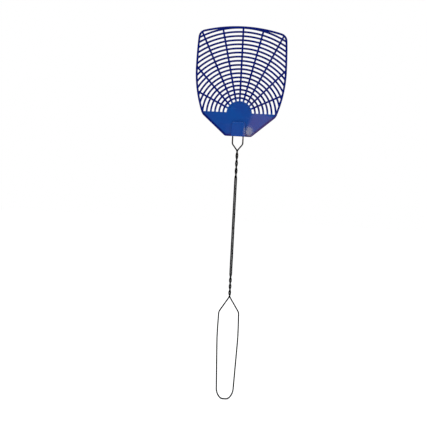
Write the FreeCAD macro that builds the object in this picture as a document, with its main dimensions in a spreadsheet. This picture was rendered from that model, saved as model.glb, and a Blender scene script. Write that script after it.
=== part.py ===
import FreeCAD, Part
import math
import os

import Sketcher

# A fly swatter: a moulded plastic head pushed onto the two prongs of a bent wire handle.
# +Z points up the handle to the head, the socket side of the head faces -Y, and the origin
# is under the middle of the grip loop, at its lowest point. Heights named "drop" are measured
# down from the centre of the solid disc at the bottom of the net, and "rise" up from it.

DIMENSIONS = [
    # the head's outline
    ("disc_centre", 368.0, "mm, height of the disc's centre above the bottom of the loop"),
    ("head_top", 113.0, "mm, rise of the rim's top at the middle"),
    ("top_radius", 190.0, "mm, radius of the rim's top edge"),
    ("corner_radius", 10.5, "mm, outside radius of the two top corners"),
    ("half_width", 58.7, "mm, half of the head's greatest width"),
    ("widest_rise", 57.0, "mm, rise of the widest place"),
    ("upper_side_radius", 600.0, "mm, radius of the sides above the widest place"),
    ("lower_side_radius", 165.0, "mm, radius of the sides below the widest place"),
    ("shoulder_radius", 12.0, "mm, radius where a side turns into the sloping flank"),
    ("flank_angle", 41.0, "deg, slope of the flank from the horizontal"),
    ("foot_radius", 4.5, "mm, radius where a flank turns into the bottom edge"),
    ("foot_half_flat", 15.3, "mm, half of the straight bottom edge"),
    ("plate_drop", 29.0, "mm, drop of the bottom edge"),
    ("ledge_rise", 1.5, "mm, rise of the plate's top edge at each side of the disc"),
    # the head's thicknesses, all measured forward from one flat back
    ("rim_width", 2.4, "mm"),
    ("rim_thick", 2.0, "mm"),
    ("plate_thick", 1.2, "mm"),
    # the net
    ("disc_radius", 16.6, "mm, radius of the solid disc that the net grows out of"),
    ("first_arc", 20.6, "mm, radius of the innermost arc, round the disc's centre"),
    ("arc_pitch", 5.32, "mm, from one arc to the next"),
    ("arc_width", 2.2, "mm"),
    ("arc_thick", 1.6, "mm"),
    ("arc_root", 1.0, "mm, how far the arcs run into the plate"),
    ("rib_width", 2.2, "mm"),
    ("rib_thick", 1.9, "mm"),
    ("rib_root_radius", 13.5, "mm, radius at which the ribs start inside the disc"),
    ("rib_length", 125.0, "mm, before the ribs are trimmed at the rim"),
    ("rib_root_angle_1", 17.3, "deg from the middle, where the first side rib starts"),
    ("rib_root_angle_2", 37.0, "deg"),
    ("rib_root_angle_3", 51.3, "deg"),
    ("rib_root_angle_4", 65.2, "deg"),
    ("rib_lean_1", 13.0, "deg from the vertical, lean of the first side rib"),
    ("rib_lean_2", 25.7, "deg"),
    ("rib_lean_3", 43.1, "deg"),
    ("rib_lean_4", 63.9, "deg"),
    # the socket on the front of the plate
    ("socket_foot_width", 18.0, "mm, at the mouth"),
    ("socket_top_width", 16.8, "mm, at the closed end"),
    ("socket_length", 18.4, "mm, from the mouth up"),
    ("socket_wall", 1.2, "mm, front wall at the crown"),
    ("socket_crown", 0.35, "mm, how much lower the front wall is at its sides"),
    ("socket_corner", 2.5, "mm, radius of its top corners"),
    ("socket_round", 0.5, "mm, edge rounding"),
    ("slot_depth", 14.5, "mm, depth of the blind slot that takes the prongs"),
    ("prong_clearance", 0.05, "mm, radial, between a prong and the slot"),
    # the wire handle
    ("wire_diameter", 1.8, "mm"),
    ("strand_gap", 0.1, "mm, left between the two strands where they lie together"),
    ("prong_spacing", 13.4, "mm, between the prongs' centres"),
    ("prong_depth", 14.0, "mm, length of prong inside the socket"),
    ("prong_bend", 5.0, "mm, radius of the bend below each prong"),
    ("neck_drop", 38.9, "mm, drop of the bend where the prongs start to close"),
    ("upper_twist_drop", 49.0, "mm, drop of the upper twist's first crossing"),
    ("upper_half_turn", 9.8, "mm, from crossing to crossing"),
    ("lower_twist_drop", 210.3, "mm, drop of the lower twist's first crossing"),
    ("lower_half_turn", 8.05, "mm, from crossing to crossing"),
    ("loop_corner_height", 112.6, "mm, height of the loop's two upper corners"),
    ("loop_corner_half", 12.8, "mm, half of the distance between them"),
    ("loop_corner_bend", 8.0, "mm, radius of those corners"),
    ("loop_waist_height", 82.0, "mm, height where the legs are furthest apart"),
    ("loop_waist_half", 13.5, "mm"),
    ("loop_waist_bend", 300.0, "mm, radius of the legs' slight bow there"),
    ("loop_heel_height", 8.5, "mm, height where the legs turn in towards the bottom"),
    ("loop_heel_half", 10.6, "mm"),
    ("loop_heel_bend", 17.0, "mm"),
    ("loop_foot_height", 0.9, "mm, height of the wire's centre at the very bottom"),
    ("loop_foot_half", 4.9, "mm"),
    ("loop_foot_bend", 7.0, "mm, radius of the round bottom of the loop"),
]
ARC_COUNT = 18
SIDE_RIBS = 4
CROSSINGS = 4  # crossings in each twist: two full turns from side by side to side by side
STEPS_PER_HALF_TURN = 4
BEND_SHARE = 0.45  # share of the shorter run that an unnamed bend takes up
TRIM_REACH = 150.0  # mm, how far out the trimming tool reaches past the head
CLOSE = 0.01  # mm, edges this near to a place count as being there
ORIGIN = -1  # a sketch's own origin point and horizontal axis
UPRIGHT = -2  # a sketch's own vertical axis

doc = FreeCAD.newDocument("FlySwatter")
sheet = doc.addObject("Spreadsheet::Sheet", "sizes")
for row, (alias, number, note) in enumerate(DIMENSIONS, start=1):
    sheet.set(f"A{row}", alias)
    sheet.set(f"B{row}", str(number))
    sheet.set(f"C{row}", note)
    sheet.setAlias(f"B{row}", alias)
doc.recompute()


def size(alias):
    """The sheet's value of one driving dimension."""
    return float(sheet.get(alias))


def vec(x, y, z=0.0):
    return FreeCAD.Vector(x, y, z)


def arc_of(centre, radius, start, end):
    """A sketch arc, anticlockwise between two angles in radians."""
    circle = Part.Circle(vec(*centre), vec(0, 0, 1), radius)
    return Part.ArcOfCircle(circle, start, end)


def line_of(start, end):
    return Part.LineSegment(vec(*start), vec(*end))


def add_sketch(body, name, role, offset=None):
    """A sketch on one of the body's own origin planes, moved out by a formula of the sheet."""
    sketch = body.newObject("Sketcher::SketchObject", name)
    plane = [one for one in body.Origin.OriginFeatures if one.Role == role][0]
    sketch.AttachmentSupport = [(plane, "")]
    sketch.MapMode = "FlatFace"
    if offset:
        sketch.setExpression("AttachmentOffset.Base.z", offset)
    return sketch


def drive(sketch, kind, *places, value, formula, name):
    """A dimension in a sketch that follows a formula of the sheet."""
    index = sketch.addConstraint(Sketcher.Constraint(kind, *places, value))
    sketch.renameConstraint(index, name)
    sketch.setExpression(f"Constraints.{name}", formula)


def join(sketch, *pairs):
    """Ties the end of each element of a pair to the start of the next, tangent where it says so."""
    ties = []
    for kind, first, second in pairs:
        ties.append(Sketcher.Constraint(kind, first, 2, second, 1))
    sketch.addConstraint(ties)


def outline_centres():
    """The centres and turning angles of the arcs in the right half of the head's outline."""
    flank = math.radians(size("flank_angle"))
    outward = vec(math.sin(flank), -math.cos(flank))
    along = vec(math.cos(flank), math.sin(flank))
    top = vec(0, size("head_top") - size("top_radius"))
    upper = vec(size("half_width") - size("upper_side_radius"), size("widest_rise"))
    lower = vec(size("half_width") - size("lower_side_radius"), size("widest_rise"))
    foot = vec(size("foot_half_flat"), size("foot_radius") - size("plate_drop"))

    # the corner's centre is where the two inner circles cross
    reach_upper = size("upper_side_radius") - size("corner_radius")
    reach_top = size("top_radius") - size("corner_radius")
    between = upper - top
    apart = between.Length
    axis = between * (1 / apart)
    across = vec(axis.y, -axis.x)
    step = (reach_top**2 - reach_upper**2 + apart**2) / (2 * apart)
    corner = top + axis * step + across * math.sqrt(reach_top**2 - step**2)

    # the shoulder's centre lies inside the flank and inside the lower side
    reach_lower = size("lower_side_radius") - size("shoulder_radius")
    depth = outward.dot(foot) + size("foot_radius") - size("shoulder_radius")
    base = outward * depth - lower
    slide = -base.dot(along) + math.sqrt(base.dot(along) ** 2 - base.dot(base) + reach_lower**2)
    shoulder = outward * depth + along * slide

    def angle(centre, end):
        return math.atan2(end.y - centre.y, end.x - centre.x)

    return {
        "top": top,
        "upper": upper,
        "lower": lower,
        "foot": foot,
        "corner": corner,
        "shoulder": shoulder,
        "flank": flank - math.pi / 2,
        "shoulder_end": angle(lower, shoulder),
        "corner_start": angle(upper, corner),
        "corner_end": angle(top, corner),
    }


def on_arc(centre, radius, angle):
    return (centre.x + radius * math.cos(angle), centre.y + radius * math.sin(angle))


def side_arcs(place):
    """The lower side, upper side, corner and top arcs of the outline: name, radius and angles."""
    return [
        ("lower", "lower_side_radius", place["shoulder_end"], 0.0),
        ("upper", "upper_side_radius", 0.0, place["corner_start"]),
        ("corner", "corner_radius", place["corner_start"], place["corner_end"]),
        ("top", "top_radius", place["corner_end"], math.pi / 2),
    ]


def add_side_arcs(sketch, first_angle, inset, inset_formula):
    """Draws those four arcs, ties them together and drives them. Returns their numbers."""
    place = outline_centres()
    numbers = []
    for name, radius, start, end in side_arcs(place):
        begin = first_angle if name == "lower" else start
        arc = arc_of(place[name], size(radius) - inset, begin, end)
        numbers.append(sketch.addGeometry(arc))
    lower, upper, corner, top = numbers
    join(sketch, ("Tangent", lower, upper), ("Tangent", upper, corner), ("Tangent", corner, top))
    for number, (name, radius, start, end) in zip(numbers, side_arcs(place)):
        formula = f"sizes.{radius} - {inset_formula}"
        drive(sketch, "Radius", number, value=size(radius) - inset, formula=formula, name=f"{name}_r")
    widest = "sizes.widest_rise"
    rise = size("widest_rise")
    reach = size("half_width") - inset
    drive(sketch, "DistanceY", ORIGIN, 1, lower, 3, value=rise, formula=widest, name="lower_centre")
    drive(sketch, "DistanceY", ORIGIN, 1, lower, 2, value=rise, formula=widest, name="widest_y")
    formula = f"sizes.half_width - {inset_formula}"
    drive(sketch, "DistanceX", ORIGIN, 1, lower, 2, value=reach, formula=formula, name="widest_x")
    sketch.addConstraint(Sketcher.Constraint("PointOnObject", top, 3, UPRIGHT))
    sketch.addConstraint(Sketcher.Constraint("PointOnObject", top, 2, UPRIGHT))
    formula = f"sizes.head_top - {inset_formula}"
    reach = size("head_top") - inset
    drive(sketch, "DistanceY", ORIGIN, 1, top, 2, value=reach, formula=formula, name="top_y")
    return numbers


def add_half_outline(sketch, inset=0.0, inset_formula="0", outside=False):
    """The right half of the head's outline, closed along the middle, or round the outside of it."""
    place = outline_centres()
    bottom = inset - size("plate_drop")
    flat = size("foot_half_flat")
    foot_r = size("foot_radius") - inset
    shoulder_r = size("shoulder_radius") - inset
    flank = place["flank"]
    base = sketch.addGeometry(line_of((0, bottom), (flat, bottom)))
    foot = sketch.addGeometry(arc_of(place["foot"], foot_r, -math.pi / 2, flank))
    flank_start = on_arc(place["foot"], foot_r, flank)
    flank_end = on_arc(place["shoulder"], shoulder_r, flank)
    slope = sketch.addGeometry(line_of(flank_start, flank_end))
    shoulder_arc = arc_of(place["shoulder"], shoulder_r, flank, place["shoulder_end"])
    shoulder = sketch.addGeometry(shoulder_arc)
    numbers = add_side_arcs(sketch, place["shoulder_end"], inset, inset_formula)
    join(sketch, ("Tangent", base, foot), ("Tangent", foot, slope), ("Tangent", slope, shoulder))
    join(sketch, ("Tangent", shoulder, numbers[0]))
    sketch.addConstraint(Sketcher.Constraint("Horizontal", base))
    sketch.addConstraint(Sketcher.Constraint("PointOnObject", base, 1, UPRIGHT))
    formula = f"sizes.plate_drop - {inset_formula}"
    drive(sketch, "DistanceY", base, 1, ORIGIN, 1, value=-bottom, formula=formula, name="bottom_y")
    formula = "sizes.foot_half_flat"
    drive(sketch, "DistanceX", ORIGIN, 1, base, 2, value=flat, formula=formula, name="flat_x")
    formula = f"sizes.foot_radius - {inset_formula}"
    drive(sketch, "Radius", foot, value=foot_r, formula=formula, name="foot_r")
    formula = f"sizes.shoulder_radius - {inset_formula}"
    drive(sketch, "Radius", shoulder, value=shoulder_r, formula=formula, name="shoulder_r")
    angle = math.radians(size("flank_angle"))
    formula = "sizes.flank_angle * 1 deg"
    drive(sketch, "Angle", slope, value=angle, formula=formula, name="flank")

    top_y = size("head_top") - inset
    far = TRIM_REACH
    corners = [(0, top_y), (0, bottom)]
    if outside:
        corners = [(0, top_y), (0, far), (far, far), (far, -far), (0, -far), (0, bottom)]
    sides = []
    last = numbers[-1]
    for start, end in zip(corners, corners[1:]):
        sides.append(sketch.addGeometry(line_of(start, end)))
        join(sketch, ("Coincident", last, sides[-1]))
        last = sides[-1]
    join(sketch, ("Coincident", last, base))
    if outside:
        for number, kind in zip(sides, ["Vertical", "Horizontal", "Vertical", "Horizontal", "Vertical"]):
            sketch.addConstraint(Sketcher.Constraint(kind, number))
        sketch.addConstraint(Sketcher.Constraint("DistanceX", ORIGIN, 1, sides[1], 2, far))
        sketch.addConstraint(Sketcher.Constraint("DistanceY", ORIGIN, 1, sides[1], 2, far))
        sketch.addConstraint(Sketcher.Constraint("DistanceY", sides[3], 1, ORIGIN, 1, far))


def add_half_window(sketch):
    """The right half of the opening that the net fills: inside the rim, above plate and disc."""
    inset = size("rim_width")
    disc = size("disc_radius")
    rise = size("ledge_rise")
    place = outline_centres()
    lower_r = size("lower_side_radius") - inset
    start = -math.asin((size("widest_rise") - rise) / lower_r)
    side = on_arc(place["lower"], lower_r, start)
    inner_end = math.asin(rise / disc)
    ledge = sketch.addGeometry(line_of(on_arc(vec(0, 0), disc, inner_end), side))
    numbers = add_side_arcs(sketch, start, inset, "sizes.rim_width")
    middle = sketch.addGeometry(line_of((0, size("head_top") - inset), (0, disc)))
    round_disc = sketch.addGeometry(arc_of(vec(0, 0), disc, inner_end, math.pi / 2))
    join(sketch, ("Coincident", ledge, numbers[0]), ("Coincident", numbers[-1], middle))
    sketch.addConstraint(Sketcher.Constraint("Coincident", middle, 2, round_disc, 2))
    sketch.addConstraint(Sketcher.Constraint("Coincident", ledge, 1, round_disc, 1))
    sketch.addConstraint(Sketcher.Constraint("Coincident", round_disc, 3, ORIGIN, 1))
    sketch.addConstraint(Sketcher.Constraint("PointOnObject", round_disc, 2, UPRIGHT))
    sketch.addConstraint(Sketcher.Constraint("Horizontal", ledge))
    formula = "sizes.ledge_rise"
    drive(sketch, "DistanceY", ORIGIN, 1, ledge, 1, value=rise, formula=formula, name="ledge_y")
    drive(sketch, "Radius", round_disc, value=disc, formula="sizes.disc_radius", name="disc_r")


def add_arc_bands(sketch):
    """The right half of every arc of the net, from the middle down into the plate."""
    foot_y = size("ledge_rise") - size("arc_root")
    floor = sketch.addGeometry(line_of((0, foot_y), (TRIM_REACH, foot_y)), True)
    sketch.addConstraint(Sketcher.Constraint("Horizontal", floor))
    sketch.addConstraint(Sketcher.Constraint("PointOnObject", floor, 1, UPRIGHT))
    sketch.addConstraint(Sketcher.Constraint("DistanceX", floor, 1, floor, 2, TRIM_REACH))
    formula = "sizes.ledge_rise - sizes.arc_root"
    drive(sketch, "DistanceY", ORIGIN, 1, floor, 1, value=foot_y, formula=formula, name="foot_y")
    rules = []
    radii = []
    for count in range(1, ARC_COUNT + 1):
        centre_line = size("first_arc") + (count - 1) * size("arc_pitch")
        edges = []
        for side, name in ((-1, "inner"), (1, "outer")):
            radius = centre_line + side * size("arc_width") / 2
            start = math.asin(foot_y / radius)
            edge = sketch.addGeometry(arc_of(vec(0, 0), radius, start, math.pi / 2))
            rules.append(Sketcher.Constraint("Coincident", edge, 3, ORIGIN, 1))
            rules.append(Sketcher.Constraint("PointOnObject", edge, 1, floor))
            rules.append(Sketcher.Constraint("PointOnObject", edge, 2, UPRIGHT))
            formula = f"sizes.first_arc + {count - 1} * sizes.arc_pitch + {side} * sizes.arc_width / 2"
            radii.append((len(rules), f"{name}_{count}", formula))
            rules.append(Sketcher.Constraint("Radius", edge, radius))
            edges.append((edge, radius, start))
        (inner, inner_r, inner_start), (outer, outer_r, outer_start) = edges
        foot = (inner_r * math.cos(inner_start), foot_y), (outer_r * math.cos(outer_start), foot_y)
        bottom = sketch.addGeometry(line_of(*foot))
        top = sketch.addGeometry(line_of((0, inner_r), (0, outer_r)))
        for line, point in ((bottom, 1), (top, 2)):
            rules.append(Sketcher.Constraint("Coincident", line, 1, inner, point))
            rules.append(Sketcher.Constraint("Coincident", line, 2, outer, point))
    first = sketch.ConstraintCount
    sketch.addConstraint(rules)
    for index, name, formula in radii:
        sketch.renameConstraint(first + index, name)
        sketch.setExpression(f"Constraints.{name}", formula)


def add_ribs(sketch):
    """Half of the middle rib and the four ribs to its right, which run out past the rim."""
    half = size("rib_width") / 2
    root = size("rib_root_radius")
    top = size("head_top") - size("rim_width") / 2
    corners = [(0, root), (half, root), (half, top), (0, top), (0, root)]
    sides = [sketch.addGeometry(line_of(*ends)) for ends in zip(corners, corners[1:])]
    for first, second in zip(sides, sides[1:] + sides[:1]):
        join(sketch, ("Coincident", first, second))
    sketch.addConstraint(Sketcher.Constraint("Horizontal", sides[0]))
    sketch.addConstraint(Sketcher.Constraint("Vertical", sides[1]))
    sketch.addConstraint(Sketcher.Constraint("Horizontal", sides[2]))
    sketch.addConstraint(Sketcher.Constraint("Vertical", sides[3]))
    sketch.addConstraint(Sketcher.Constraint("PointOnObject", sides[0], 1, UPRIGHT))
    formula = "sizes.rib_root_radius"
    drive(sketch, "DistanceY", ORIGIN, 1, sides[0], 1, value=root, formula=formula, name="root_y")
    formula = "sizes.head_top - sizes.rim_width / 2"
    drive(sketch, "DistanceY", ORIGIN, 1, sides[2], 1, value=top, formula=formula, name="top_y")
    formula = "sizes.rib_width / 2"
    drive(sketch, "DistanceX", ORIGIN, 1, sides[1], 1, value=half, formula=formula, name="half_x")
    for count in range(1, SIDE_RIBS + 1):
        add_side_rib(sketch, count)


def add_side_rib(sketch, count):
    """One straight rib, given by where it starts inside the disc and by how it leans."""
    around = math.radians(size(f"rib_root_angle_{count}"))
    lean = math.radians(size(f"rib_lean_{count}"))
    start = vec(math.sin(around), math.cos(around)) * size("rib_root_radius")
    along = vec(math.sin(lean), math.cos(lean)) * size("rib_length")
    across = vec(math.cos(lean), -math.sin(lean)) * (size("rib_width") / 2)
    corners = [start - across, start + across, start + across + along, start - across + along]
    sides = []
    for first, second in zip(corners, corners[1:] + corners[:1]):
        sides.append(sketch.addGeometry(Part.LineSegment(first, second)))
    for first, second in zip(sides, sides[1:] + sides[:1]):
        join(sketch, ("Coincident", first, second))
    centre = sketch.addGeometry(Part.Point(start))
    sketch.addConstraint(Sketcher.Constraint("Symmetric", sides[0], 1, sides[0], 2, centre, 1))
    sketch.addConstraint(Sketcher.Constraint("Perpendicular", sides[0], sides[1]))
    sketch.addConstraint(Sketcher.Constraint("Parallel", sides[1], sides[3]))
    sketch.addConstraint(Sketcher.Constraint("Parallel", sides[0], sides[2]))
    turn = f"sizes.rib_root_angle_{count} * 1 deg"
    for kind, value, function in (("DistanceX", start.x, "sin"), ("DistanceY", start.y, "cos")):
        formula = f"sizes.rib_root_radius * {function}({turn})"
        name = f"{kind}_{count}"
        drive(sketch, kind, ORIGIN, 1, centre, 1, value=value, formula=formula, name=name)
    wide = size("rib_width")
    drive(sketch, "Distance", sides[0], value=wide, formula="sizes.rib_width", name=f"wide_{count}")
    far = size("rib_length")
    drive(sketch, "Distance", sides[1], value=far, formula="sizes.rib_length", name=f"long_{count}")
    formula = f"90 deg - sizes.rib_lean_{count} * 1 deg"
    drive(sketch, "Angle", sides[1], value=math.pi / 2 - lean, formula=formula, name=f"lean_{count}")


SLOT = "(sizes.wire_diameter + 2 * sizes.prong_clearance)"
SOCKET_DEPTH = f"(sizes.plate_thick + {SLOT} + sizes.socket_wall)"


def slot_thickness():
    return size("wire_diameter") + 2 * size("prong_clearance")


def add_socket_section(sketch, width_name):
    """A cross-section of the socket: square at the back, inside the plate, and crowned in front."""
    half = size(width_name) / 2
    back = size("plate_thick") / 2
    crown = size("socket_crown")
    front = size("plate_thick") + slot_thickness() + size("socket_wall") - crown
    radius = (half**2 + crown**2) / (2 * crown)
    spread = math.asin(half / radius)
    base = sketch.addGeometry(line_of((-half, -back), (half, -back)))
    right = sketch.addGeometry(line_of((half, -back), (half, -front)))
    left = sketch.addGeometry(line_of((-half, -front), (-half, -back)))
    centre = vec(0, radius - crown - front)
    bow = arc_of(centre, radius, -math.pi / 2 - spread, -math.pi / 2 + spread)
    bow = sketch.addGeometry(bow)
    join(sketch, ("Coincident", base, right), ("Coincident", left, base))
    sketch.addConstraint(Sketcher.Constraint("Coincident", right, 2, bow, 2))
    sketch.addConstraint(Sketcher.Constraint("Coincident", left, 1, bow, 1))
    sketch.addConstraint(Sketcher.Constraint("Symmetric", base, 1, base, 2, UPRIGHT))
    sketch.addConstraint(Sketcher.Constraint("Vertical", right))
    sketch.addConstraint(Sketcher.Constraint("Vertical", left))
    sketch.addConstraint(Sketcher.Constraint("Equal", left, right))
    formula = f"sizes.{width_name}"
    drive(sketch, "DistanceX", base, 1, base, 2, value=2 * half, formula=formula, name="wide")
    formula = "sizes.plate_thick / 2"
    drive(sketch, "DistanceY", base, 1, ORIGIN, 1, value=back, formula=formula, name="back")
    formula = f"{SOCKET_DEPTH} - sizes.socket_crown - sizes.plate_thick / 2"
    drive(sketch, "Distance", right, value=front - back, formula=formula, name="deep")
    formula = f"((sizes.{width_name} / 2) ^ 2 + sizes.socket_crown ^ 2) / (2 * sizes.socket_crown)"
    drive(sketch, "Radius", bow, value=radius, formula=formula, name="crown_r")


def add_slot(sketch):
    """The slot's mouth, a little larger than the prongs all round, with a round end for each."""
    half = size("prong_spacing") / 2
    radius = slot_thickness() / 2
    middle = -size("plate_thick") - radius
    right = arc_of(vec(half, middle), radius, -math.pi / 2, math.pi / 2)
    left = arc_of(vec(-half, middle), radius, math.pi / 2, math.pi * 3 / 2)
    right = sketch.addGeometry(right)
    back = sketch.addGeometry(line_of((half, middle + radius), (-half, middle + radius)))
    left = sketch.addGeometry(left)
    front = sketch.addGeometry(line_of((-half, middle - radius), (half, middle - radius)))
    join(sketch, ("Tangent", right, back), ("Tangent", back, left))
    join(sketch, ("Tangent", left, front), ("Tangent", front, right))
    sketch.addConstraint(Sketcher.Constraint("Symmetric", left, 3, right, 3, UPRIGHT))
    formula = "sizes.prong_spacing"
    drive(sketch, "DistanceX", left, 3, right, 3, value=2 * half, formula=formula, name="apart")
    formula = f"sizes.plate_thick + {SLOT} / 2"
    drive(sketch, "DistanceY", right, 3, ORIGIN, 1, value=-middle, formula=formula, name="middle")
    drive(sketch, "Radius", right, value=radius, formula=f"{SLOT} / 2", name="end_r")


def add_feature(body, kind, name, profile, length=None, **settings):
    """A feature on a sketch. Its length, if it has one, is a formula of the sheet."""
    feature = body.newObject(f"PartDesign::{kind}", name)
    feature.Profile = profile
    for key, value in settings.items():
        setattr(feature, key, value)
    if length:
        feature.setExpression("Length", length)
    doc.recompute()
    return feature


def edges_where(shape, test):
    """The names of a shape's edges whose middle and length pass a test."""
    names = []
    for index, edge in enumerate(shape.Edges, start=1):
        if test(edge.CenterOfMass, edge.BoundBox):
            names.append(f"Edge{index}")
    return names


def make_head():
    """The moulded head in its own frame: disc centre at the origin, flat back at y = 0."""
    body = doc.addObject("PartDesign::Body", "swatter_head")
    body.Label = "swatter_head"

    outline = add_sketch(body, "OutlineSketch", "XZ_Plane")
    add_half_outline(outline)
    blank = add_feature(body, "Pad", "Blank", outline, "sizes.rim_thick")

    recess = add_sketch(body, "RecessSketch", "XZ_Plane", "sizes.rim_thick")
    add_half_outline(recess, size("rim_width"), "sizes.rim_width")
    depth = "sizes.rim_thick - sizes.plate_thick"
    recess = add_feature(body, "Pocket", "FrontRecess", recess, depth)

    window = add_sketch(body, "WindowSketch", "XZ_Plane", "sizes.rim_thick")
    add_half_window(window)
    window = add_feature(body, "Pocket", "NetWindow", window, Type="ThroughAll")

    bands = add_sketch(body, "ArcSketch", "XZ_Plane")
    add_arc_bands(bands)
    bands = add_feature(body, "Pad", "NetArcs", bands, "sizes.arc_thick")

    ribs = add_sketch(body, "RibSketch", "XZ_Plane")
    add_ribs(ribs)
    ribs = add_feature(body, "Pad", "NetRibs", ribs, "sizes.rib_thick")

    trim = add_sketch(body, "TrimSketch", "XZ_Plane", "sizes.rim_thick")
    add_half_outline(trim, outside=True)
    trim = add_feature(body, "Pocket", "TrimAtRim", trim, Type="ThroughAll")

    # the left half is the right half in the mirror
    mirror = body.newObject("PartDesign::Mirrored", "LeftHalf")
    mirror.Originals = [blank, recess, window, bands, ribs, trim]
    plane = [one for one in body.Origin.OriginFeatures if one.Role == "YZ_Plane"][0]
    mirror.MirrorPlane = (plane, [""])
    body.Tip = mirror
    doc.recompute()

    # the socket stands on the front of the plate, open at the bottom edge
    foot = add_sketch(body, "SocketFoot", "XY_Plane", "-sizes.plate_drop")
    add_socket_section(foot, "socket_foot_width")
    top = add_sketch(body, "SocketTop", "XY_Plane", "sizes.socket_length - sizes.plate_drop")
    add_socket_section(top, "socket_top_width")
    socket = add_feature(body, "AdditiveLoft", "Socket", foot, Sections=[top], Ruled=True)

    end = size("socket_length") - size("plate_drop")
    half = size("socket_top_width") / 2

    def at_top_corner(middle, box):
        across_the_plate = box.XLength < CLOSE and box.ZLength < CLOSE
        at_a_side = abs(abs(middle.x) - half) < CLOSE
        return across_the_plate and at_a_side and abs(middle.z - end) < CLOSE

    corners = body.newObject("PartDesign::Fillet", "SocketCorners")
    corners.Base = (socket, edges_where(socket.Shape, at_top_corner))
    corners.setExpression("Radius", "sizes.socket_corner")
    doc.recompute()

    slot = add_sketch(body, "SlotSketch", "XY_Plane", "-sizes.plate_drop")
    add_slot(slot)
    slot = add_feature(body, "Pocket", "ProngSlot", slot, "sizes.slot_depth", Reversed=True)

    face_y = -(size("plate_thick") + slot_thickness() + size("socket_wall")) + size("socket_crown")

    def round_the_front(middle, box):
        in_front = box.YMax < face_y + CLOSE
        return in_front and box.ZMax > size("socket_round") / 2 - size("plate_drop")

    rounded = body.newObject("PartDesign::Fillet", "SocketRounding")
    rounded.Base = (slot, edges_where(slot.Shape, round_the_front))
    rounded.setExpression("Radius", "sizes.socket_round")
    doc.recompute()
    body.Placement.Base = vec(0, size("plate_thick") + slot_thickness() / 2, size("disc_centre"))
    return body


def rounded_path(points, radii):
    """Edges of a path of straight runs joined by tangent arcs, one radius for each inner point."""
    edges = []
    start = points[0]
    for before, point, after, radius in zip(points, points[1:], points[2:], radii):
        back = (before - point).normalize()
        ahead = (after - point).normalize()
        half_turn = (math.pi - back.getAngle(ahead)) / 2
        reach = radius * math.tan(half_turn)
        bisector = (back + ahead).normalize()
        middle = point + bisector * (radius / math.cos(half_turn) - radius)
        edges.append(Part.LineSegment(start, point + back * reach).toShape())
        edges.append(Part.Arc(point + back * reach, middle, point + ahead * reach).toShape())
        start = point + ahead * reach
    edges.append(Part.LineSegment(start, points[-1]).toShape())
    return edges


def twist_points(first_crossing, half_turn):
    """One strand's points round a twist, from its left side down and back to its left side."""
    step = math.pi / STEPS_PER_HALF_TURN
    closest = (size("wire_diameter") + size("strand_gap")) / 2
    radius = closest / math.cos(step / 2)
    points = []
    quarter = STEPS_PER_HALF_TURN // 2
    for count in range(1 - quarter, CROSSINGS * STEPS_PER_HALF_TURN - quarter):
        angle = math.pi / 2 - count * step
        height = first_crossing - count * half_turn / STEPS_PER_HALF_TURN
        points.append(vec(radius * math.cos(angle), radius * math.sin(angle), height))
    return points


def handle_route():
    """The wire's centre line: one strand from its prong to the loop, then back up the other."""
    centre = size("disc_centre")
    prong = -size("prong_spacing") / 2
    side = -(size("wire_diameter") + size("strand_gap")) / 2
    mouth = centre - size("plate_drop")
    upper = centre - size("upper_twist_drop")
    lower = centre - size("lower_twist_drop")
    pair_top = upper - size("upper_half_turn") * (CROSSINGS - 0.5)
    pair_foot = lower + size("lower_half_turn") * 0.5
    points = [vec(prong, 0, mouth + size("prong_depth"))]
    points.append(vec(prong, 0, centre - size("neck_drop")))
    named_bends = {1: size("prong_bend")}
    points += twist_points(upper, size("upper_half_turn"))
    points += [vec(side, 0, pair_top), vec(side, 0, pair_foot)]
    points += twist_points(lower, size("lower_half_turn"))
    for name in ("loop_corner", "loop_waist", "loop_heel", "loop_foot"):
        named_bends[len(points)] = size(f"{name}_bend")
        points.append(vec(-size(f"{name}_half"), 0, size(f"{name}_height")))

    # the other strand is the first one turned half way round the handle's axis
    last = 2 * len(points) - 1
    for index, radius in list(named_bends.items()):
        named_bends[last - index] = radius
    points += [vec(-point.x, -point.y, point.z) for point in reversed(points)]

    radii = []
    for index in range(1, len(points) - 1):
        before = points[index - 1] - points[index]
        after = points[index + 1] - points[index]
        half_turn = (math.pi - before.getAngle(after)) / 2
        shorter = min(before.Length, after.Length)
        radii.append(named_bends.get(index, BEND_SHARE * shorter / math.tan(half_turn)))
    return points, radii


def make_handle():
    """One length of round wire swept along its route."""
    points, radii = handle_route()
    route = doc.addObject("Part::Feature", "wire_centre_line")
    route.Shape = Part.Wire(rounded_path(points, radii))
    section = doc.addObject("Part::Circle", "wire_section")
    section.setExpression("Radius", "sizes.wire_diameter / 2")
    section.Placement.Base = points[0]
    handle = doc.addObject("Part::Sweep", "wire_handle")
    handle.Label = "wire_handle"
    handle.Sections = [section]
    handle.Spine = (route, [f"Edge{index + 1}" for index in range(len(route.Shape.Edges))])
    handle.Solid = True
    doc.recompute()
    length = route.Shape.Length
    expected = length * math.pi * size("wire_diameter") ** 2 / 4
    print(f"wire length {length:.1f} mm, volume {handle.Shape.Volume:.1f} against {expected:.1f} mm3")
    return handle


parts = [make_head(), make_handle()]
for one in doc.Objects:
    if "Invalid" in one.State or "Error" in one.State:
        raise SystemExit(f"{one.Name} did not build: {one.State}")
for one in parts:
    shape = one.Shape
    if shape.isNull() or not shape.isValid() or len(shape.Solids) != 1:
        raise SystemExit(f"{one.Label} is not one valid solid")

os.makedirs("parts", exist_ok=True)
for one in parts:
    one.Shape.exportStep(f"parts/{one.Label}.step")
    box = one.Shape.optimalBoundingBox()
    print(f"{one.Label}: {one.Shape.Volume:.0f} mm3, x {box.XMin:.2f} to {box.XMax:.2f}, "
          f"y {box.YMin:.2f} to {box.YMax:.2f}, z {box.ZMin:.2f} to {box.ZMax:.2f}")
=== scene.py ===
import math

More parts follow.
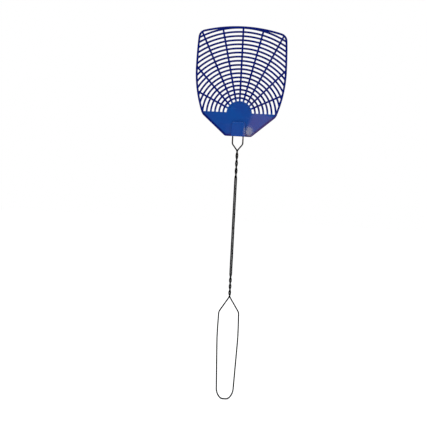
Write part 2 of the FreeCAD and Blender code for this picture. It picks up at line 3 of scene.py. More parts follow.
import bmesh
import bpy
from mathutils import Matrix, Quaternion, Vector


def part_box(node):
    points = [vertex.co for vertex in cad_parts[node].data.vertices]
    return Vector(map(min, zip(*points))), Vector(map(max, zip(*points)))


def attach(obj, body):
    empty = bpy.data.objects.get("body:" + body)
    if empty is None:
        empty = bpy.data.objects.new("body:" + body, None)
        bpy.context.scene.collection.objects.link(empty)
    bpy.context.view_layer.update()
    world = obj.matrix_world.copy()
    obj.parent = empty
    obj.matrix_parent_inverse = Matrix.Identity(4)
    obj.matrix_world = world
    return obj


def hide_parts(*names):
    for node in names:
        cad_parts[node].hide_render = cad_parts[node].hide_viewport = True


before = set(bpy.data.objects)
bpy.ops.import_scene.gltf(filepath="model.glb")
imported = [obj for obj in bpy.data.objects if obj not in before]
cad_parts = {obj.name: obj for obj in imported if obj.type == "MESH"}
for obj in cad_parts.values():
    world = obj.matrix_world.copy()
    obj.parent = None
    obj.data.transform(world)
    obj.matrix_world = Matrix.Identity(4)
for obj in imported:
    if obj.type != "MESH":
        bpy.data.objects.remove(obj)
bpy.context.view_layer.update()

# A fly swatter, upright and seen from the side of the head that carries the socket.
# Lengths are millimetres in the named values, and metres in every mesh and in what the frame
# gives. The head is worked out in its own frame: x across, z up from the centre of the solid
# disc, and "forward" towards the viewer from the moulding's flat back.
MM = 0.001
HEAD_LOW, HEAD_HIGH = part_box("swatter_head")
WIRE_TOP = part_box("wire_handle")[1].z

# ---------------------------------------------------------------- the head's driving sizes
HALF_WIDTH = (HEAD_HIGH.x - HEAD_LOW.x) / MM / 2
PLATE_DROP = 29.0  # from the disc's centre down to the bottom edge
DISC_Z = HEAD_LOW.z / MM + PLATE_DROP
HEAD_TOP = HEAD_HIGH.z / MM - DISC_Z
BACK_Y = HEAD_HIGH.y / MM
TOP_RADIUS = 190.0
CORNER_RADIUS = 10.5
WIDEST_RISE = 57.0
UPPER_SIDE_RADIUS = 600.0
LOWER_SIDE_RADIUS = 165.0
SHOULDER_RADIUS = 12.0
FLANK = math.radians(41.0)
FOOT_RADIUS = 4.5
FOOT_HALF_FLAT = 15.3
PLATE_THICK = 1.2
PLATE_EDGE = 0.3  # rounding of the plate's edges
LEDGE_RISE = 1.5  # rise of the plate's top edge at each side of the disc
RIM = (2.6, 2.0)  # width and thickness
ARC = (2.5, 1.6)
RIB = (2.4, 1.9)
BACK_ROUND = 0.28  # radius of a bar's two back edges
FRONT_ROUND = 0.5  # radius of its two front edges, as a share of half its width
DISC_RADIUS = 16.6
ARC_COUNT = 18
FIRST_ARC = 20.6  # radius of the innermost arc
ARC_PITCH = 5.32
ROOT_DEPTH = 1.0  # how far the arcs run into the plate
ROOT_SLOPE = 0.8  # length over which a bar slopes down at its ends
RIB_ROOT = 13.5  # radius at which the ribs start inside the disc
# where the middle rib and each side rib start round the disc, and how they lean, in degrees
RIB_ANGLES = [(0.0, 0.0), (17.3, 13.0), (37.0, 25.7), (51.3, 43.1), (65.2, 63.9)]
SOCKET_FOOT_HALF = 9.0
SOCKET_TOP_HALF = 8.4
SOCKET_LENGTH = 18.4
SOCKET_CORNER = 2.5
SOCKET_EDGE = 0.7  # radius of its front edges
SOCKET_CROWN = 0.35  # how far its front stands out further at the middle
SOCKET_WALL = 1.2
SOCKET_STEP = 2.0  # between sections along its straight sides
SLOT_THICK = 1.9
SLOT_DEPTH = 14.5
SLOT_FLARE = 0.35  # how much wider the slot is all round at its mouth
FLARE_DEPTH = 0.5
# chords in the socket's round top corners, in its front edges and across its crown
CORNER_STEPS = 12
EDGE_STEPS = 5
CROWN_STEPS = 8
NET_SHADE_FADE = 4.0  # distance over which the plate's blue deepens into the darker blue of the net's painted shade

# ---------------------------------------------------------------- margins, in millimetres
SAME_PLACE = 0.01  # points nearer to each other than this count as one
WELD = 0.002  # vertices of a finished mesh nearer than this are joined
SLACK = 0.05  # margin where one surface has to lie inside another
OVERCUT = 1.0  # how far a cutting tool starts outside what it cuts

# ---------------------------------------------------------------- the wire's driving sizes
WIRE_RADIUS = 0.9
END_CHAMFER = 0.25
STRAND_SIDE = 0.95  # from the axis to a strand's centre where the strands lie together
PRONG_X = 6.7
PRONG_DEPTH = (WIRE_TOP - HEAD_LOW.z) / MM  # length of prong inside the socket
PRONG_BEND = 5.0
NECK_DROP = 38.9
CROSSINGS = 4
POINTS_PER_TURN = 8
BEND_SHARE = 0.45  # share of the shorter run that an unnamed bend takes up
UPPER_TWIST = (49.0, 9.8)  # drop of the first crossing, and the step to the next
LOWER_TWIST = (210.3, 8.05)
LOOP_CORNER = (12.8, 112.6, 8.0)  # half width, height and bend radius
LOOP_WAIST = (13.5, 82.0, 300.0)
LOOP_HEEL = (10.6, 8.5, 17.0)
LOOP_FOOT = (4.9, WIRE_RADIUS, 7.0)


# ---------------------------------------------------------------- flat geometry of the head
def on_circle(x, y, radius, angle):
    return x + radius * math.cos(angle), y + radius * math.sin(angle)


def polar(centre, radius, angle):
    return Vector(on_circle(centre.x, centre.y, radius, angle))


def outline_arcs():
    """Centre, radius, first and last angle of each arc in the right half of the outline."""
    out = Vector((math.sin(FLANK), -math.cos(FLANK)))
    along = Vector((math.cos(FLANK), math.sin(FLANK)))
    top = Vector((0, HEAD_TOP - TOP_RADIUS))
    upper = Vector((HALF_WIDTH - UPPER_SIDE_RADIUS, WIDEST_RISE))
    lower = Vector((HALF_WIDTH - LOWER_SIDE_RADIUS, WIDEST_RISE))
    foot = Vector((FOOT_HALF_FLAT, FOOT_RADIUS - PLATE_DROP))

    reach_upper = UPPER_SIDE_RADIUS - CORNER_RADIUS
    reach_top = TOP_RADIUS - CORNER_RADIUS
    apart = (upper - top).length
    axis = (upper - top) / apart
    step = (reach_top**2 - reach_upper**2 + apart**2) / (2 * apart)
    across = Vector((axis.y, -axis.x))
    corner = top + axis * step + across * math.sqrt(reach_top**2 - step**2)

    reach_lower = LOWER_SIDE_RADIUS - SHOULDER_RADIUS
    base = out * (out.dot(foot) + FOOT_RADIUS - SHOULDER_RADIUS)
    away = base - lower
    slide = math.sqrt(away.dot(along) ** 2 - away.dot(away) + reach_lower**2) - away.dot(along)
    shoulder = base + along * slide

    flank = FLANK - math.pi / 2
    shoulder_end = math.atan2(shoulder.y - lower.y, shoulder.x - lower.x)
    corner_start = math.atan2(corner.y - upper.y, corner.x - upper.x)
    corner_end = math.atan2(corner.y - top.y, corner.x - top.x)
    return [
        (foot, FOOT_RADIUS, -math.pi / 2, flank),
        (shoulder, SHOULDER_RADIUS, flank, shoulder_end),
        (lower, LOWER_SIDE_RADIUS, shoulder_end, 0.0),
        (upper, UPPER_SIDE_RADIUS, 0.0, corner_start),
        (corner, CORNER_RADIUS, corner_start, corner_end),
        (top, TOP_RADIUS, corner_end, math.pi / 2),
    ]


def arc_steps(radius, sweep, sag=0.008):
    """How many chords an arc needs to stay within sag of the true curve."""
    return max(2, math.ceil(abs(sweep) / (2 * math.acos(1 - min(0.5, sag / radius)))))


def outline(inset):
    """The closed outline moved in by inset, anticlockwise from the middle of the bottom edge."""
    half = []
    for centre, radius, start, end in outline_arcs():
        steps = arc_steps(radius, end - start)
        for index in range(steps + 1):
            point = polar(centre, radius - inset, start + (end - start) * index / steps)
            if not half or (point - half[-1]).length > SAME_PLACE:
                half.append(point)
    left = [Vector((-point.x, point.y)) for point in reversed(half[:-1])]
    return [Vector((0, inset - PLATE_DROP))] + half + left


def is_inside(loop, point):
    """Whether a point lies inside a closed loop."""
    inside = False
    for start, end in zip(loop, loop[1:] + loop[:1]):
        if (start.y > point.y) != (end.y > point.y):
            if point.x < start.x + (end.x - start.x) * (point.y - start.y) / (end.y - start.y):
                inside = not inside
    return inside


def last_inside(loop, place, low, high, halvings=24):
    """The largest value, between low and high, at which place(value) is still in the loop."""
    for _ in range(halvings):
        middle = (low + high) / 2
        if is_inside(loop, place(middle)):
            low = middle
        else:
            high = middle
    return low


# ---------------------------------------------------------------- meshes
def new_piece(name, bm):
    bmesh.ops.recalc_face_normals(bm, faces=bm.faces)
    mesh = bpy.data.meshes.new(name)
    bm.to_mesh(mesh)
    bm.free()
    piece = bpy.data.objects.new(name, mesh)
    bpy.context.scene.collection.objects.link(piece)
    return piece


def head_point(x, z, forward):
    """A point of the head in metres in the row frame."""
    return Vector((x, BACK_Y - forward, DISC_Z + z)) * MM


def skin(bm, rings, closed):
    """Quads between rings of vertices, with the two ends capped unless the rings close up."""
    count = len(rings[0])
    pairs = list(zip(rings, rings[1:]))
    if closed:
        pairs.append((rings[-1], rings[0]))
    for first, second in pairs:
        for index in range(count):
            after = (index + 1) % count
            bm.faces.new((first[index], first[after], second[after], second[index]))
    if not closed:
        bm.faces.new(list(reversed(rings[0])))
        bm.faces.new(rings[-1])


def bar_profile(width, thick):
    """Section of a moulded bar: across and forward, a little round behind and rounder in front."""
    back = BACK_ROUND
    front = width / 2 * FRONT_ROUND
    points = []
    for side, forward, radius, start, steps in (
        (width / 2 - back, back, back, -90, 2),
        (width / 2 - front, thick - front, front, 0, 4),
        (front - width / 2, thick - front, front, 90, 4),
        (back - width / 2, back, back, 180, 2),
    ):
        for index in range(steps + 1):
            angle = math.radians(start + 90 * index / steps)
            points.append(on_circle(side, forward, radius, angle))
    return points


def add_bar(bm, path, profile, closed=False, sharpest=0.3):
    """Sweeps a bar's profile along a flat path. An open bar slopes down into the plate at its ends."""
    if not closed:
        first = path[0] + (path[1] - path[0]).normalized() * ROOT_SLOPE
        last = path[-1] + (path[-2] - path[-1]).normalized() * ROOT_SLOPE
        path = [path[0], first] + path[1:-1] + [last, path[-1]]
    rings = []
    count = len(path)
    for index, point in enumerate(path):
        before = path[index - 1] if closed or index else None
        after = path[(index + 1) % count] if closed or index < count - 1 else None
        into = (point - before).normalized() if before is not None else None
        out = (after - point).normalized() if after is not None else None
        tangent = ((into or out) + (out or into)).normalized()
        at_an_end = into is None or out is None
        spread = 1.0 if at_an_end else 1 / max(sharpest, tangent.dot(into))
        across = Vector((tangent.y, -tangent.x)) * spread
        height = PLATE_THICK - SLACK if at_an_end else RIM[1]
        ring = []
        for side, forward in profile:
            place = point + across * side
            ring.append(bm.verts.new(head_point(place.x, place.y, min(forward, height))))
        rings.append(ring)
    skin(bm, rings, closed)


def combine(target, tool, operation):
    """Joins a closed mesh to another, or cuts it away, and leaves one closed mesh."""
    step = target.modifiers.new("combine", "BOOLEAN")
    step.object = tool
    step.operation = operation
    step.solver = "MANIFOLD"
    view = bpy.context.evaluated_depsgraph_get()
    made = bpy.data.meshes.new_from_object(target.evaluated_get(view))
    target.modifiers.clear()
    target.data = made
    bpy.data.objects.remove(tool)


def make_plate():
    """The flat plate and the solid half disc above it, with softened edges."""
    edge = outline(RIM[0] / 2)
    side = last_inside(edge, lambda x: Vector((x, LEDGE_RISE)), 0, 2 * HALF_WIDTH)
    lower = [point for point in edge if point.y < LEDGE_RISE]
    right = [point for point in lower if point.x >= 0]
    left = [point for point in lower if point.x < 0]
    loop = right + [Vector((side, LEDGE_RISE))]
    first = math.asin(LEDGE_RISE / DISC_RADIUS)
    sweep = math.pi - 2 * first
    steps = arc_steps(DISC_RADIUS, sweep)
    for index in range(steps + 1):
        loop.append(polar(Vector((0, 0)), DISC_RADIUS, first + sweep * index / steps))
    loop += [Vector((-side, LEDGE_RISE))] + left
    bm = bmesh.new()
    back = [bm.verts.new(head_point(point.x, point.y, 0)) for point in loop]
    front = [bm.verts.new(head_point(point.x, point.y, PLATE_THICK)) for point in loop]
    skin(bm, [back, front], False)
    bmesh.ops.recalc_face_normals(bm, faces=bm.faces)
    flat = [face for face in bm.faces if len(face.verts) > 4]
    edges = [edge for face in flat for edge in face.edges]
    bmesh.ops.bevel(bm, geom=edges, offset=PLATE_EDGE * MM, segments=3, profile=0.5, affect="EDGES")
    return new_piece("swatter_head_moulding", bm)


def make_rim():
    bm = bmesh.new()
    add_bar(bm, outline(RIM[0] / 2), bar_profile(*RIM), closed=True)
    return new_piece("rim", bm)


def make_arcs(sure_turn=0.12):
    """The concentric arcs: the inner ones end in the plate and the outer ones in the rim.

    At sure_turn from the middle, in radians, even the outermost arc is still inside the rim.
    """
    bm = bmesh.new()
    limit = outline(RIM[0] * 0.4)  # just past the middle of the rim
    for count in range(1, ARC_COUNT + 1):
        radius = FIRST_ARC + (count - 1) * ARC_PITCH

        def place(turn, radius=radius):
            return polar(Vector((0, 0)), radius, math.pi / 2 - turn)

        reach = math.pi / 2 + math.asin((ROOT_DEPTH - LEDGE_RISE) / radius)
        reach = last_inside(limit, place, sure_turn, reach)
        steps = arc_steps(radius, 2 * reach)
        path = [place(reach - 2 * reach * index / steps) for index in range(steps + 1)]
        add_bar(bm, path, bar_profile(*ARC))
    return new_piece("arcs", bm)


def make_ribs(sure_length=10):
    """The nine ribs that fan out from the disc to the rim, all of them longer than sure_length."""
    bm = bmesh.new()
    limit = outline(RIM[0] / 2)
    for root, lean in RIB_ANGLES:
        for side in (1, -1) if lean else (1,):
            around = math.radians(root) * side
            turn = math.radians(lean) * side
            start = Vector((math.sin(around), math.cos(around))) * RIB_ROOT
            along = Vector((math.sin(turn), math.cos(turn)))
            length = last_inside(limit, lambda far: start + along * far, sure_length, 2 * HEAD_TOP)
            add_bar(bm, [start, start + along * length], bar_profile(*RIB))
    return new_piece("ribs", bm)


def round_off(radius, to_end):
    """What a rounding of a radius takes off at a distance before the end that it runs into."""
    past = max(0.0, radius - to_end)
    return radius - math.sqrt(max(0.0, radius**2 - past**2))


def socket_section(half, tall):
    """A section of the socket, across and forward: straight sides, round edges, crowned front."""
    left = [(-half, PLATE_THICK / 2)]
    for index in range(EDGE_STEPS + 1):
        angle = math.pi - math.pi / 2 * index / EDGE_STEPS
        left.append(on_circle(SOCKET_EDGE - half, tall - SOCKET_EDGE, SOCKET_EDGE, angle))
    crown = []
    inner = half - SOCKET_EDGE
    for index in range(1, CROWN_STEPS):
        x = -inner + 2 * inner * index / CROWN_STEPS
        crown.append((x, tall + SOCKET_CROWN * (1 - (x / inner) ** 2)))
    right = [(-x, forward) for x, forward in reversed(left)]
    return left + crown + right


def make_socket():
    """The raised socket: crowned in front, rounded along its edges and at its closed end."""
    bm = bmesh.new()
    tall = PLATE_THICK + SLOT_THICK + SOCKET_WALL - SOCKET_CROWN
    end = SOCKET_LENGTH - PLATE_DROP
    straight = int((SOCKET_LENGTH - SOCKET_CORNER) / SOCKET_STEP)
    stations = [SOCKET_STEP * index - PLATE_DROP for index in range(straight + 1)]
    for index in range(CORNER_STEPS + 1):
        around = math.pi / 2 * index / CORNER_STEPS
        stations.append(end - SOCKET_CORNER * (1 - math.sin(around)))
    rings = []
    for z in stations:
        share = (z + PLATE_DROP) / SOCKET_LENGTH
        half = SOCKET_FOOT_HALF + (SOCKET_TOP_HALF - SOCKET_FOOT_HALF) * share
        half -= round_off(SOCKET_CORNER, end - z)
        section = socket_section(half, tall - round_off(SOCKET_EDGE, end - z))
        rings.append([bm.verts.new(head_point(x, z, forward)) for x, forward in section])
    skin(bm, rings, False)
    return new_piece("socket", bm)


def make_slot(steps=12):
    """The blind slot that takes the two prongs, flared a little at its mouth."""
    bm = bmesh.new()
    middle = PLATE_THICK + SLOT_THICK / 2
    flared = [(-OVERCUT, SLOT_FLARE), (0.0, SLOT_FLARE), (FLARE_DEPTH, 0.0), (SLOT_DEPTH, 0.0)]
    rings = []
    for depth, grow in flared:
        radius = SLOT_THICK / 2 + grow
        ring = []
        for side in (1, -1):
            for index in range(steps + 1):
                angle = -math.pi / 2 + math.pi * index / steps
                x = side * (PRONG_X + radius * math.cos(angle))
                forward = middle + side * radius * math.sin(angle)
                ring.append(bm.verts.new(head_point(x, depth - PLATE_DROP, forward)))
        rings.append(ring)
    skin(bm, rings, False)
    return new_piece("slot", bm)


def smooth_by_angle(piece, limit):
    """Smooth shading, broken along edges sharper than limit, with flat faces kept flat."""
    bm = bmesh.new()
    bm.from_mesh(piece.data)
    bmesh.ops.remove_doubles(bm, verts=bm.verts, dist=WELD * MM)
    for face in bm.faces:
        face.smooth = True
    for edge in bm.edges:
        edge.smooth = len(edge.link_faces) == 2 and edge.calc_face_angle(0.0) < limit
    bm.to_mesh(piece.data)
    bm.free()
    weigh = piece.modifiers.new("even_normals", "WEIGHTED_NORMAL")
    weigh.keep_sharp = True


def mark_rim(piece):
    """Stores, on each face, whether it belongs to the rim (1) or lies inside it (0); the material gives
    the rim the bars' painted shade.
    """
    inside_rim = outline(RIM[0] - SLACK)
    values = []
    for face in piece.data.polygons:
        place = Vector((face.center.x / MM, face.center.z / MM - DISC_Z))
        on_socket = face.center.y / MM < BACK_Y - RIM[1] - SLACK
        values.append(0.0 if on_socket or is_inside(inside_rim, place) else 1.0)
    layer = piece.data.attributes.new("rim", "FLOAT", "FACE")
    layer.data.foreach_set("value", values)


def make_head(sharp=math.radians(38)):
    """The whole moulding as one closed mesh. Edges sharper than sharp stay sharp."""
    head = make_plate()
    for tool in (make_rim(), make_arcs(), make_ribs(), make_socket()):
        combine(head, tool, "UNION")
    combine(head, make_slot(), "DIFFERENCE")
    smooth_by_angle(head, sharp)
    mark_rim(head)
    return head


# ---------------------------------------------------------------- the wire
def rounded_path(points, radii, degrees=4.0):
    """Points along straight runs joined by tangent arcs, one radius for each inner point."""
    path = [points[0]]
    for before, point, after, radius in zip(points, points[1:], points[2:], radii):
        back = (before - point).normalized()
        ahead = (after - point).normalized()
        half_turn = (math.pi - back.angle(ahead)) / 2
        centre = point + (back + ahead).normalized() * (radius / math.cos(half_turn))
        start = point + back * radius * math.tan(half_turn) - centre
        axis = start.cross(point + ahead * radius * math.tan(half_turn) - centre)
        steps = max(2, math.ceil(2 * math.degrees(half_turn) / degrees))
        for index in range(steps + 1):
            turn = Matrix.Rotation(2 * half_turn * index / steps, 3, axis)
            path.append(centre + turn @ start)
    path.append(points[-1])
    return path


def twist(first_drop, step):
    """One strand's points round a twist, from its left side down and back to its left side."""
    angle_step = 2 * math.pi / POINTS_PER_TURN
    radius = STRAND_SIDE / math.cos(angle_step / 2)
    half = POINTS_PER_TURN // 2
    quarter = POINTS_PER_TURN // 4
    points = []
    for count in range(1 - quarter, CROSSINGS * half - quarter):
        angle = math.pi / 2 - count * angle_step
        height = DISC_Z - first_drop - count * step / half
        points.append(Vector((radius * math.cos(angle), radius * math.sin(angle), height)))
    return points


def wire_route():
    """The wire's corner points and bend radii: down one strand, round the loop and back up."""
    plate = DISC_Z - PLATE_DROP
    pair_top = DISC_Z - UPPER_TWIST[0] - UPPER_TWIST[1] * (CROSSINGS - 0.5)
    pair_foot = DISC_Z - LOWER_TWIST[0] + LOWER_TWIST[1] * 0.5
    points = [Vector((-PRONG_X, 0, plate + PRONG_DEPTH)), Vector((-PRONG_X, 0, DISC_Z - NECK_DROP))]
    bends = {1: PRONG_BEND}
    points += twist(*UPPER_TWIST)
    points += [Vector((-STRAND_SIDE, 0, pair_top)), Vector((-STRAND_SIDE, 0, pair_foot))]
    points += twist(*LOWER_TWIST)
    for half, height, bend in (LOOP_CORNER, LOOP_WAIST, LOOP_HEEL, LOOP_FOOT):
        bends[len(points)] = bend
        points.append(Vector((-half, 0, height)))
    last = 2 * len(points) - 1
    bends.update({last - index: bend for index, bend in list(bends.items())})
    points += [Vector((-point.x, -point.y, point.z)) for point in reversed(points)]
    radii = []
    for index in range(1, len(points) - 1):
        before = points[index - 1] - points[index]
        after = points[index + 1] - points[index]
        half_turn = (math.pi - before.angle(after)) / 2
        free = BEND_SHARE * min(before.length, after.length) / math.tan(half_turn)
        radii.append(bends.get(index, free))
    return points, radii


def make_wire(sides=20):
    """The bent wire as one tube, with its two cut ends chamfered, and a map along its length."""
    path = rounded_path(*wire_route())
    for end, inner in ((0, 1), (-1, -2)):
        along = (path[inner] - path[end]).normalized()
        path.insert(1 if end == 0 else len(path) - 1, path[end] + along * END_CHAMFER)
    bm = bmesh.new()
    maps = bm.loops.layers.uv.new("length")
    across = Vector((0, 1, 0))
    rings = []
    lengths = [0.0]
    for index, point in enumerate(path):
        before = path[max(0, index - 1)]
        after = path[min(len(path) - 1, index + 1)]
        tangent = (after - before).normalized()
        across = (across - tangent * across.dot(tangent)).normalized()
        other = tangent.cross(across)
        radius = WIRE_RADIUS - (END_CHAMFER if index in (0, len(path) - 1) else 0)
        if index:
            lengths.append(lengths[-1] + (point - before).length)
        ring = []
        for side in range(sides):
            angle = 2 * math.pi * side / sides
            place = point + (across * math.cos(angle) + other * math.sin(angle)) * radius
            ring.append(bm.verts.new(place * MM))
        rings.append(ring)
    for row, (first, second) in enumerate(zip(rings, rings[1:])):
        for side in range(sides):
            after = (side + 1) % sides
            face = bm.faces.new((first[side], first[after], second[after], second[side]))
            face.smooth = True
            around = (side / sides, (side + 1) / sides)
            corners = ((around[0], row), (around[1], row), (around[1], row + 1), (around[0], row + 1))
            for loop, (turn, at) in zip(face.loops, corners):
                loop[maps].uv = (turn, lengths[at] * MM)
    bm.faces.new(list(reversed(rings[0])))
    bm.faces.new(rings[-1])
    return new_piece("wire_handle_bent", bm)


# ---------------------------------------------------------------- materials
def node_material(name):
    """A new material, its shader, and helpers that add a node with its inputs and a link."""
    material = bpy.data.materials.new(name)
    material.use_nodes = True
    tree = material.node_tree
    shader = tree.nodes["Principled BSDF"]

    def add(kind, inputs=None, **settings):
        node = tree.nodes.new(kind)
        for key, value in settings.items():
            setattr(node, key, value)
        for key, value in (inputs or {}).items():
            if isinstance(value, bpy.types.NodeSocket):
                tree.links.new(value, node.inputs[key])
            else:
                node.inputs[key].default_value = value
        return node

    def link(output, socket):
        tree.links.new(output, socket)

    return material, shader, add, link


def ramp(add, value, low, high, to_low, to_high):
    """Maps a value from one range to another, clamped."""
    inputs = {"Value": value, "From Min": low, "From Max": high, "To Min": to_low, "To Max": to_high}
    return add("ShaderNodeMapRange", inputs).outputs["Result"]


def mix_colours(add, share, first, second):
    """A mix of two colours. The Mix node's sockets share their names, so they go by number."""
    return add("ShaderNodeMix", {0: share, 6: first, 7: second}, data_type="RGBA").outputs[2]


def blue_plastic():
    """Moulded plastic: soft gloss, cloudy colour, fine grain and scuffs, with the bars and rim painted a
    deeper blue as painted shade.
    """
    material, shader, add, link = node_material("blue_moulded_plastic")
    place = add("ShaderNodeTexCoord").outputs["Object"]
    cloud = add("ShaderNodeTexNoise", {"Vector": place, "Scale": 38.0, "Detail": 3.0}).outputs["Fac"]
    grain = add("ShaderNodeTexNoise", {"Vector": place, "Scale": 900.0, "Detail": 2.0}).outputs["Fac"]
    drawn_out = add("ShaderNodeMapping", {"Vector": place, "Scale": (40, 40, 900)}).outputs["Vector"]
    scuff = add("ShaderNodeTexNoise", {"Vector": drawn_out, "Scale": 1.0}).outputs["Fac"]
    scuff = ramp(add, scuff, 0.62, 0.70, 0.0, 1.0)

    # Painted shade: the net past the disc and ledge, and the rim, take a darker blue, faded in over a few
    # millimetres.
    from_disc = add("ShaderNodeMapping", {"Vector": place, "Location": (0, 0, -DISC_Z * MM)})
    away = add("ShaderNodeVectorMath", {0: from_disc.outputs["Vector"]}, operation="LENGTH")
    rise = add("ShaderNodeSeparateXYZ", {0: from_disc.outputs["Vector"]}).outputs["Z"]
    past_disc = ramp(add, away.outputs["Value"], DISC_RADIUS * MM, (DISC_RADIUS + NET_SHADE_FADE) * MM, 0.0, 1.0)
    past_ledge = ramp(add, rise, LEDGE_RISE * MM, (LEDGE_RISE + NET_SHADE_FADE) * MM, 0.0, 1.0)
    net_shade = add("ShaderNodeMath", {0: past_disc, 1: past_ledge}, operation="MINIMUM").outputs[0]
    rim = add("ShaderNodeAttribute", attribute_name="rim").outputs["Fac"]
    painted_shade_share = add("ShaderNodeMath", {0: net_shade, 1: rim}, operation="MAXIMUM").outputs[0]

    shade = ramp(add, cloud, 0.3, 0.7, 0.0, 1.0)
    plate = mix_colours(add, shade, (0.008, 0.046, 0.250, 1), (0.003, 0.062, 0.290, 1))
    # Painted shade: the bars' darker blue stands in for the shade on their sides.
    bars = mix_colours(add, shade, (0.0005, 0.004, 0.110, 1), (0.0005, 0.008, 0.150, 1))
    link(mix_colours(add, painted_shade_share, plate, bars), shader.inputs["Base Color"])
    rough = ramp(add, grain, 0.3, 0.7, 0.14, 0.22)
    rough = add("ShaderNodeMath", {0: scuff, 1: 0.12, 2: rough}, operation="MULTIPLY_ADD").outputs[0]
    link(rough, shader.inputs["Roughness"])
    relief = add("ShaderNodeMath", {0: grain, 1: 0.02, 2: cloud}, operation="MULTIPLY_ADD").outputs[0]
    relief = add("ShaderNodeMath", {0: scuff, 1: -0.03, 2: relief}, operation="MULTIPLY_ADD").outputs[0]
    bump = add("ShaderNodeBump", {"Height": relief, "Strength": 0.02, "Distance": 0.001})
    link(bump.outputs["Normal"], shader.inputs["Normal"])
    shader.inputs["IOR"].default_value = 1.49
    shader.inputs["Specular IOR Level"].default_value = 0.25
    return material


def drawn_steel():
    """Drawn wire with die marks along its length, duller and brighter patches, and worn places; its
    near-black steel colour is partly painted shade for the dark surroundings it reflects.
    """
    material, shader, add, link = node_material("drawn_steel_with_painted_shade")
    along = add("ShaderNodeUVMap", uv_map="length").outputs["UV"]
    stretch = add("ShaderNodeMapping", {"Vector": along, "Scale": (60.0, 90.0, 1.0)}).outputs["Vector"]
    streak = add("ShaderNodeTexNoise", {"Vector": stretch, "Scale": 1.0, "Detail": 4.0}).outputs["Fac"]
    place = add("ShaderNodeTexCoord").outputs["Object"]
    patch = add("ShaderNodeTexNoise", {"Vector": place, "Scale": 60.0, "Detail": 3.0}).outputs["Fac"]
    speck = add("ShaderNodeTexNoise", {"Vector": place, "Scale": 700.0, "Detail": 2.0}).outputs["Fac"]
    share = ramp(add, patch, 0.35, 0.65, 0.0, 1.0)
    worn = ramp(add, speck, 0.64, 0.72, 0.0, 1.0)
    # Painted shade: the steel's colour is held near black to stand in for dark reflections, over its real
    # duller and brighter patches.
    steel_and_painted_shade = mix_colours(add, share, (0.012, 0.012, 0.013, 1), (0.035, 0.035, 0.035, 1))
    link(mix_colours(add, worn, steel_and_painted_shade, (0.11, 0.105, 0.10, 1)), shader.inputs["Base Color"])
    link(ramp(add, streak, 0.3, 0.7, 0.22, 0.42), shader.inputs["Roughness"])
    bump = add("ShaderNodeBump", {"Height": streak, "Strength": 0.15, "Distance": 0.0002})
    link(bump.outputs["Normal"], shader.inputs["Normal"])
    shader.inputs["Metallic"].default_value = 1.0
    shader.inputs["Specular Tint"].default_value = (0.4, 0.4, 0.4, 1)
    return material


def floor_paint():
    """Matt white paint that glows a little, so that the floor stays pale in the shade."""
    material, shader, add, link = node_material("pale_floor")
    place = add("ShaderNodeTexCoord").outputs["Object"]
    cloud = add("ShaderNodeTexNoise", {"Vector": place, "Scale": 3.0, "Detail": 2.0}).outputs["Fac"]
    paint = mix_colours(add, cloud, (0.86, 0.86, 0.86, 1), (0.90, 0.90, 0.90, 1))
    link(paint, shader.inputs["Base Color"])
    shader.inputs["Roughness"].default_value = 0.9
    shader.inputs["Specular IOR Level"].default_value = 0.0
    shader.inputs["Emission Color"].default_value = (1, 1, 1, 1)
    shader.inputs["Emission Strength"].default_value = 0.35
    return material


# ---------------------------------------------------------------- the two pieces
head = make_head()
head.data.materials.clear()
head.data.materials.append(blue_plastic())
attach(head, "head")
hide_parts("swatter_head")

wire = make_wire()
wire.data.materials.append(drawn_steel())
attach(wire, "handle")
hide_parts("wire_handle")

# ---------------------------------------------------------------- stage, light and camera
FRAME_PIXELS = 427
MM_PER_PIXEL = 1.287
ROLL = math.radians(3.0)
CAMERA_DISTANCE = 1.6
SENSOR = 36.0
AIM_RIGHT = -23.3  # mm from the handle's middle to the centre of the view
AIM_UP = 55.5


def make_floor():
    """A wide round floor. It is kept out of reflections, where it would grey the bars."""
    bm = bmesh.new()
    bmesh.ops.create_circle(bm, cap_ends=True, radius=40.0, segments=96)
    floor = new_piece("floor", bm)
    floor.data.materials.append(floor_paint())
    floor.visible_glossy = False


def make_camera():
    """Looks straight at the swatter's front, rolled so that it leans a little to the right."""
    right = Vector((math.cos(ROLL), 0, math.sin(ROLL)))
    up = Vector((-math.sin(ROLL), 0, math.cos(ROLL)))
    aim = Vector((0, 0, DISC_Z / 2)) + right * AIM_RIGHT + up * AIM_UP
    data = bpy.data.cameras.new("camera")
    data.sensor_width = SENSOR
    half_view = FRAME_PIXELS * MM_PER_PIXEL * MM / 2
    data.lens = SENSOR / 2 * CAMERA_DISTANCE / half_view
    camera = bpy.data.objects.new("camera", data)
    back = Vector((0, -1, 0))
    turn = Matrix((right, up, back)).transposed().to_4x4()
    camera.matrix_world = Matrix.Translation(aim * MM + back * CAMERA_DISTANCE) @ turn
    bpy.context.scene.collection.objects.link(camera)
    bpy.context.scene.camera = camera


def add_light(name, place, target, size, power, colour=(1, 1, 1), shape="RECTANGLE"):
    """A flat soft light that faces a target. Its place and size are in metres."""
    data = bpy.data.lights.new(name, "AREA")
    data.shape = shape
    data.size, data.size_y = size
    data.energy = power
    data.color = colour
    light = bpy.data.objects.new(name, data)
    light.location = place
    facing = Vector(target) - Vector(place)
    light.rotation_mode = "QUATERNION"
    light.rotation_quaternion = facing.to_track_quat("-Z", "Y")
    light.visible_camera = False
    bpy.context.scene.collection.objects.link(light)
    return light


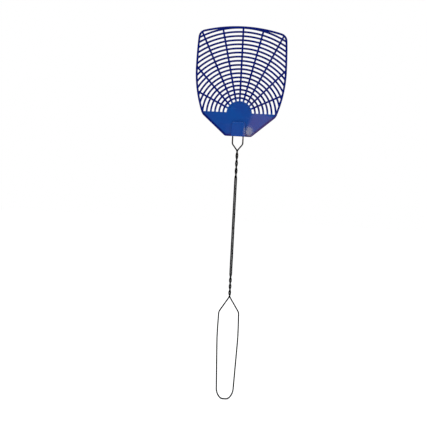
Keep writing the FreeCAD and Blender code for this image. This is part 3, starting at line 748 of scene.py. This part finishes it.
def add_reflection(name, place, size, power, colour, tilt=0.0, shape="RECTANGLE"):
    """A small card close in front of the plate that only shows as a reflection in it.

    Its place is x, y and the rise above the disc's centre, in millimetres, as its size is.
    """
    x, y, rise = place
    place = Vector((x, y, DISC_Z + rise)) * MM
    size = [side * MM for side in size]
    card = add_light(name, place, place + Vector((0, 1, 0)), size, power, colour, shape)
    turn = Quaternion((0, 0, 1), math.radians(tilt))
    card.rotation_quaternion = card.rotation_quaternion @ turn
    card.visible_diffuse = False


def make_world():
    """White to the camera, a dimmer even grey as light and in reflections."""
    world = bpy.data.worlds.new("studio")
    world.use_nodes = True
    nodes = world.node_tree.nodes
    links = world.node_tree.links
    rays = nodes.new("ShaderNodeLightPath")
    mix = nodes.new("ShaderNodeMixShader")
    seen = nodes.new("ShaderNodeBackground")
    seen.inputs["Color"].default_value = (1, 1, 1, 1)
    given = nodes["Background"]
    given.inputs["Color"].default_value = (0.9, 0.95, 1, 1)
    given.inputs["Strength"].default_value = 0.14
    links.new(rays.outputs["Is Camera Ray"], mix.inputs["Fac"])
    links.new(given.outputs["Background"], mix.inputs[1])
    links.new(seen.outputs["Background"], mix.inputs[2])
    links.new(mix.outputs["Shader"], nodes["World Output"].inputs["Surface"])
    bpy.context.scene.world = world


def add_overhead():
    """A broad, even light from above."""
    sun = bpy.data.lights.new("overhead", "SUN")
    sun.energy = 2.2
    sun.angle = math.radians(60)
    overhead = bpy.data.objects.new("overhead", sun)
    overhead.rotation_euler = (math.radians(20), math.radians(-15), 0)
    bpy.context.scene.collection.objects.link(overhead)


make_floor()
make_camera()
make_world()
middle = (0, 0, 0.25)  # metres
add_light("key", (-1.1, -1.6, 1.7), middle, (1.2, 1.2), 11)
add_light("fill", (1.5, -1.0, 0.9), middle, (1.0, 1.4), 4)
add_light("back", (0.3, 1.8, 1.5), middle, (1.6, 1.0), 8)
add_reflection("flank_card", (42.6, -20.0, -18.5), (60, 35), 0.0195, (1, 0.38, 0.08), -16.8)
add_reflection("socket_card", (-5.8, -20.0, -21.0), (20.5, 20), 0.0006, (1, 0.1, 0.1))
add_reflection("spot", (14.7, -19.0, -20.8), (9.0, 12), 0.0024, (1, 0.92, 0.30), shape="ELLIPSE")
add_overhead()
bpy.context.scene.view_settings.view_transform = "Standard"
